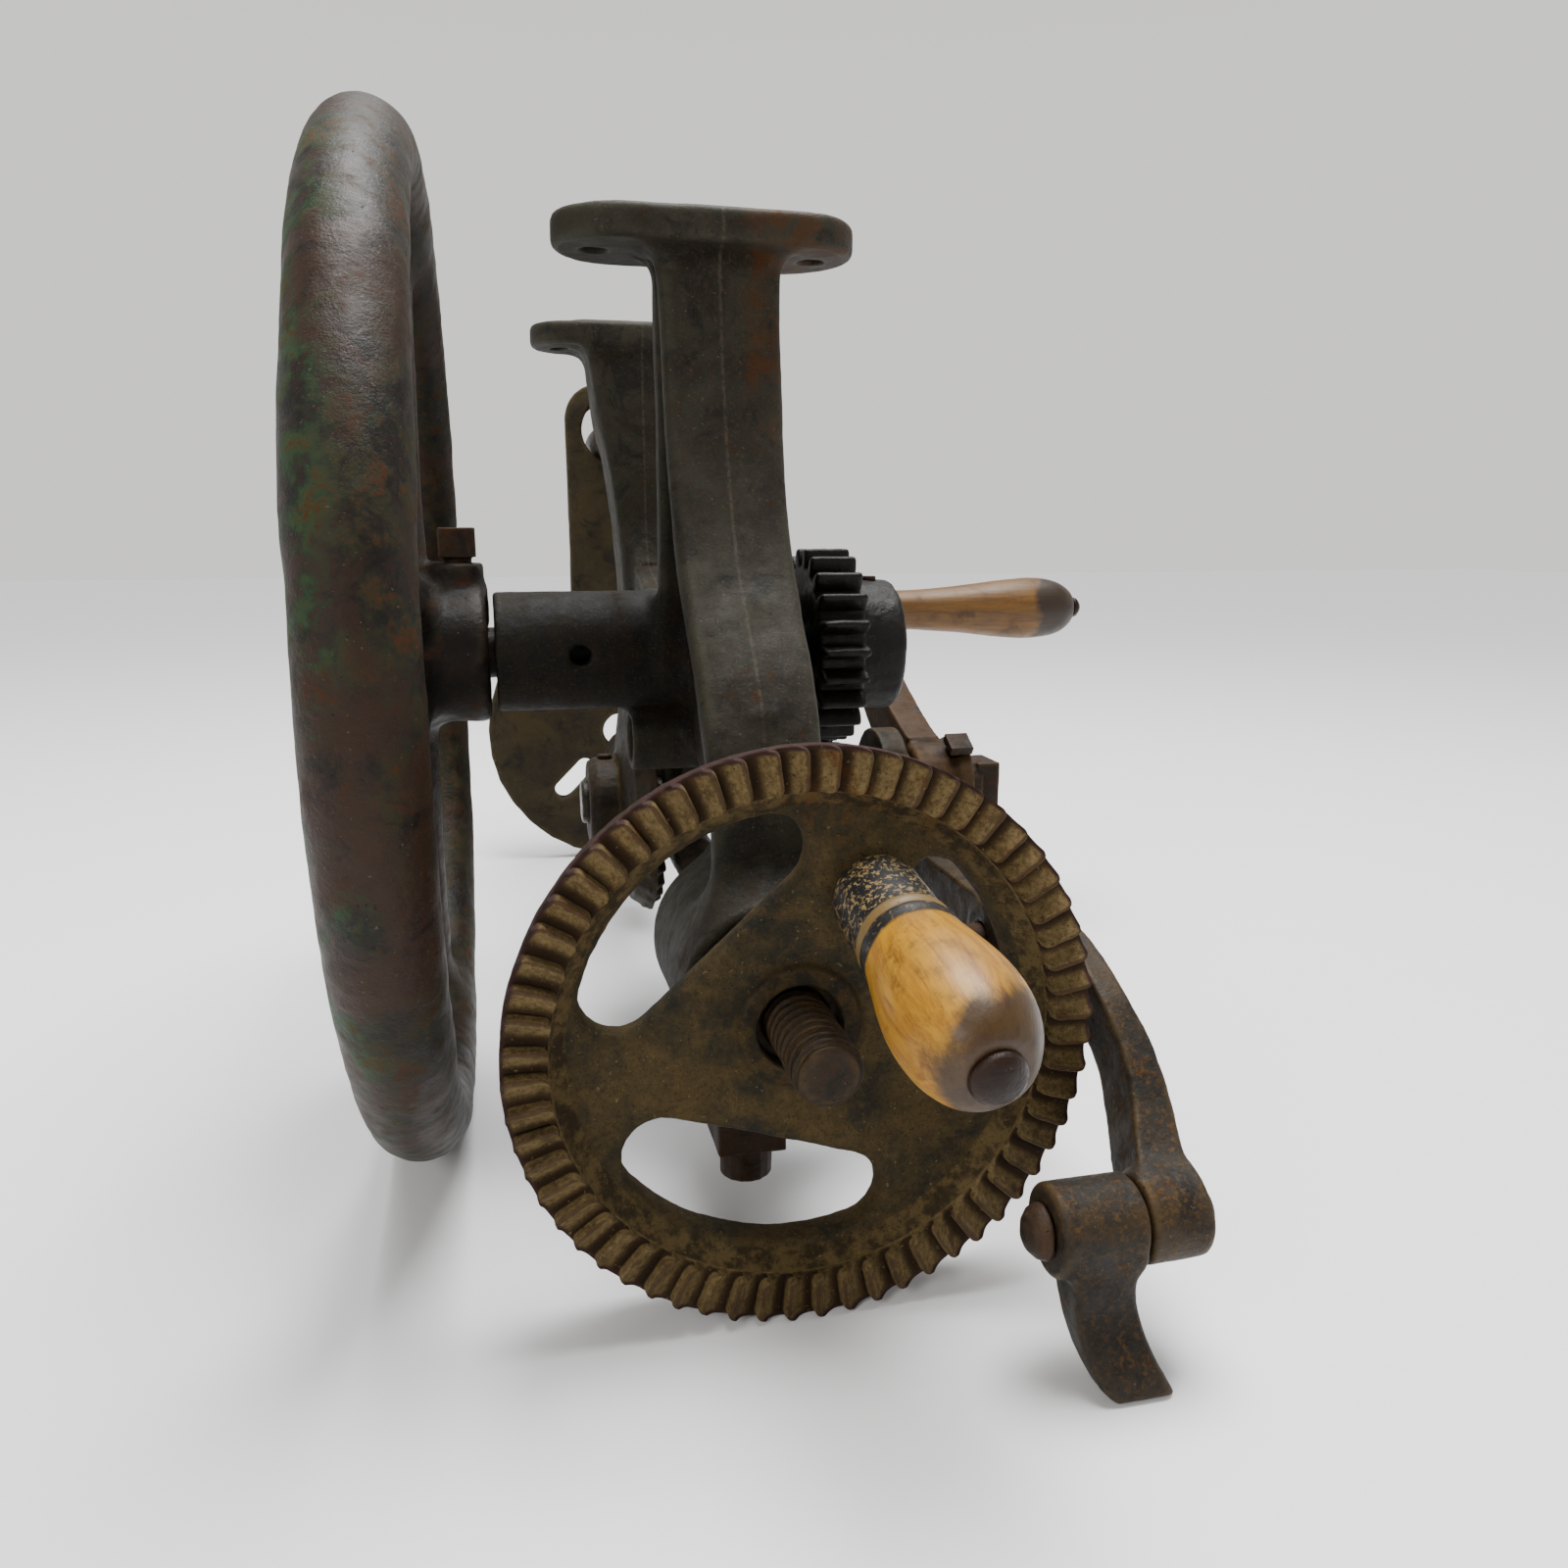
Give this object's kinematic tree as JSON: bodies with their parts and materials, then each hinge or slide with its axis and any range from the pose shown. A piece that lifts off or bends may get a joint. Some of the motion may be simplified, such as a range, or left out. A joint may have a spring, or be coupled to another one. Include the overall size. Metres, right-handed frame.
{
  "type": "hand-cranked post drill",
  "caption": "Cast-iron hand-cranked post drill with side flywheel, gear train, ratchet feed wheel, swinging pawl, sliding table and two wall feet.",
  "frame": {"origin": "centre of the upper foot's flat mounting face, the foot nearer the feed wheel", "axes": "+Z out of the two feet's mounting faces towards the post; +Y along the spindle from the feed wheel to the table; +X from the flywheel to the crank"},
  "size_m": [0.3786, 0.6618, 0.358],
  "materials": {
    "frame_iron": "dark grey-brown sand-cast iron with a mould line, traces of old dark paint, orange rust on one arm and pale specks",
    "flywheel_iron": "dark iron with worn green-black paint, red-brown rust and rubbed satin high spots",
    "feed_wheel_iron": "dark iron under dry tan dust and grease, bare dark tooth crests, rust-brown rim",
    "gear_iron": "near-black oily iron with a soft sheen on the tooth tips",
    "crown_iron": "brown dusty iron with dark grease",
    "arm_iron": "brown rusted iron with dark patches",
    "lever_iron": "forged iron, rusty brown with orange rust and worn blue-grey patches",
    "table_iron": "olive-brown iron with dry dirt and light rust",
    "column_steel": "turned steel gone brown",
    "shaft_steel": "turned steel, dark and oily",
    "screw_iron": "dark threaded steel full of dry tan dust",
    "rusty_fastener": "rusty dark brown forged iron",
    "rivet_iron": "dark shiny rivet head",
    "honey_wood": "varnished honey-coloured turned wood, dark stains and worn black paint on its neck",
    "dark_wood": "brown turned wood with a dark worn tip"
  },
  "bodies": {
    "frame": {"frame": "frame_iron", "column": "column_steel", "boss_bolt": "rusty_fastener", "boss_nut": "rusty_fastener", "lever_stud": "rusty_fastener"},
    "crank": {"crankshaft": "shaft_steel", "bull_gear": "gear_iron", "bull_gear_screw": "rusty_fastener", "crown_gear": "crown_iron", "crown_gear_pin": "rusty_fastener", "feed_cam": "crown_iron", "crank_arm": "arm_iron", "crank_arm_screw": "rusty_fastener", "crankshaft_end_nut": "rusty_fastener", "crank_grip_bolt": "rivet_iron"},
    "crank_grip": {"crank_grip": "dark_wood"},
    "flywheel": {"flywheel": "flywheel_iron", "flywheel_screw": "rusty_fastener", "flywheel_shaft": "shaft_steel", "drive_pinion": "gear_iron", "pinion_pin": "rusty_fastener"},
    "spindle_pinion": {"spindle_pinion": "gear_iron"},
    "feed_wheel": {"feed_wheel": "feed_wheel_iron", "feed_nut": "screw_iron", "nut_collar": "rusty_fastener", "nut_collar_screw": "rusty_fastener", "feed_grip_bolt": "rivet_iron"},
    "feed_grip": {"feed_grip": "honey_wood"},
    "feed_screw": {"feed_screw": "screw_iron", "thrust_washer": "shaft_steel"},
    "spindle": {"spindle": "shaft_steel", "chuck": "crown_iron", "chuck_screw": "rusty_fastener"},
    "feed_lever": {"feed_lever": "lever_iron", "follower_pin": "rusty_fastener", "pawl_rivet": "rusty_fastener"},
    "pawl": {"pawl": "lever_iron"},
    "table": {"table": "table_iron", "table_clamp_screw": "rusty_fastener"}
  },
  "joints": [
    {"name": "crank_turn", "type": "hinge", "parent": "frame", "child": "crank", "pos_m": [0.003, 0.0827, -0.22126], "axis": [1, 0, 0], "continuous": true},
    {"name": "crank_grip_spin", "type": "hinge", "parent": "crank", "child": "crank_grip", "pos_m": [0.183, 0.20143, -0.14707], "axis": [1, 0, 0], "continuous": true},
    {"name": "flywheel_turn", "type": "hinge", "parent": "frame", "child": "flywheel", "pos_m": [0.003, 0.021, -0.1485], "axis": [1, 0, 0], "continuous": true},
    {"name": "spindle_pinion_turn", "type": "hinge", "parent": "frame", "child": "spindle_pinion", "pos_m": [0.003, 0.122, -0.2435], "axis": [0, 1, 0], "continuous": true},
    {"name": "feed_turn", "type": "hinge", "parent": "frame", "child": "feed_wheel", "pos_m": [0.003, -0.127, -0.2435], "axis": [0, -1, 0], "range_deg": [0, 4230]},
    {"name": "feed_grip_spin", "type": "hinge", "parent": "feed_wheel", "child": "feed_grip", "pos_m": [0.0214, -0.1352, -0.2017], "axis": [0.0414, -0.9737, -0.224], "continuous": true},
    {"name": "feed_slide", "type": "slide", "parent": "frame", "child": "feed_screw", "axis": [0, 1, 0], "range_m": [0, 0.05]},
    {"name": "spindle_turn", "type": "hinge", "parent": "feed_screw", "child": "spindle", "pos_m": [0.003, 0.158, -0.2435], "axis": [0, 1, 0], "continuous": true},
    {"name": "lever_rock", "type": "hinge", "parent": "frame", "child": "feed_lever", "pos_m": [0.096, -0.054, -0.2495], "axis": [1, 0, 0], "range_deg": [-7, 7]},
    {"name": "pawl_swing", "type": "hinge", "parent": "feed_lever", "child": "pawl", "pos_m": [0.07, -0.177, -0.285], "axis": [1, 0, 0], "range_deg": [-60, 50]},
    {"name": "table_slide", "type": "slide", "parent": "frame", "child": "table", "axis": [0, 1, 0], "range_m": [-0.008, 0.02]}
  ],
  "couplings": [
    {"joint": "flywheel_turn", "follows": "crank_turn", "ratio": -1.7273},
    {"joint": "spindle_pinion_turn", "follows": "crank_turn", "ratio": 2.5},
    {"joint": "spindle_turn", "follows": "crank_turn", "ratio": 2.5},
    {"joint": "feed_slide", "follows": "feed_turn", "m_per_rad": 0.00067322}
  ]
}
